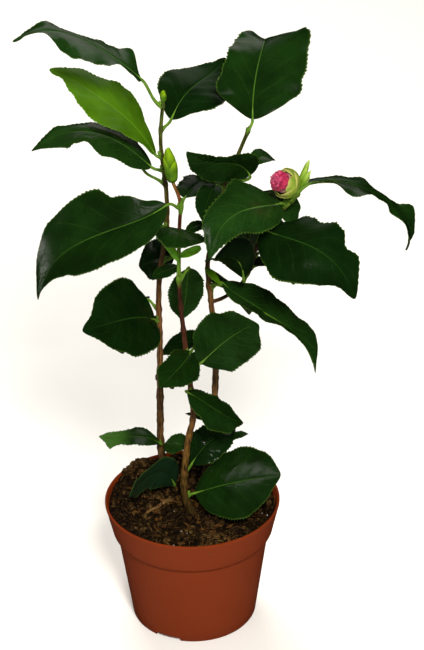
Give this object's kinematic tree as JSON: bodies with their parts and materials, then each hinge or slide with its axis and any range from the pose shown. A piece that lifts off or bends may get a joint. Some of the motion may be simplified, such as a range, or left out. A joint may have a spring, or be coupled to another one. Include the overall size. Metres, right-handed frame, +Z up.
{
  "type": "potted japanese camellia",
  "caption": "Young camellia with upright stems, glossy drooping leaves and a pink flower bud, standing in a round terracotta-coloured plastic nursery pot filled with compost",
  "frame": {"origin": "centre of the pot's flat underside", "axes": "+Z up, -Y to the front of the plant as pictured, +X to its right"},
  "size_m": [0.2689, 0.162, 0.4671],
  "materials": {
    "terracotta_plastic": "thin moulded plastic in terracotta colour, satin, lightly scuffed",
    "peat": "moist fibrous peat compost with bark bits and perlite",
    "bark": "thin tan-brown bark, finely furrowed",
    "green_stem": "smooth young green to reddish shoot",
    "leaf": "leathery dark green leaf, glossy above, paler and matt below",
    "young_leaf": "soft fresh green young leaf",
    "petal": "crumpled pink petals in pale green scales",
    "bud_scale": "smooth yellow-green bud scales"
  },
  "bodies": {
    "root": {"pot": "terracotta_plastic", "compost": "peat", "stem_left": "bark", "stem_middle": "bark", "stem_right": "bark", "branch_bud": "green_stem", "leaf_01": "leaf", "leaf_02": "young_leaf", "leaf_03": "leaf", "leaf_04": "leaf", "leaf_05": "leaf", "leaf_06": "leaf", "leaf_07": "leaf", "leaf_08": "leaf", "leaf_09": "leaf", "leaf_10": "leaf", "leaf_11": "leaf", "leaf_12": "leaf", "leaf_13": "leaf", "leaf_14": "leaf", "leaf_15": "leaf", "leaf_16": "leaf", "leaf_17": "leaf", "leaf_18": "leaf", "leaf_19": "leaf", "leaf_20": "leaf", "leaf_21": "leaf", "leaf_22": "leaf", "leaf_23": "leaf", "leaf_24": "leaf", "leaf_25": "leaf", "leaf_26": "leaf", "leaf_27": "young_leaf", "leaf_28": "leaf", "leaf_29": "leaf", "leaf_30": "leaf", "leaf_31": "leaf", "leaf_32": "leaf", "leaf_33": "young_leaf", "leaf_34": "leaf", "leaf_35": "leaf", "leaf_36": "leaf", "leaf_37": "leaf", "leaf_38": "leaf", "leaf_39": "leaf", "leaf_40": "leaf", "leaf_41": "leaf", "leaf_42": "leaf", "leaf_43": "leaf", "leaf_44": "leaf", "leaf_45": "leaf", "leaf_46": "leaf", "leaf_47": "leaf", "flower_bud": "petal", "growth_bud": "bud_scale", "tip_bud": "bud_scale"}
  },
  "joints": []
}
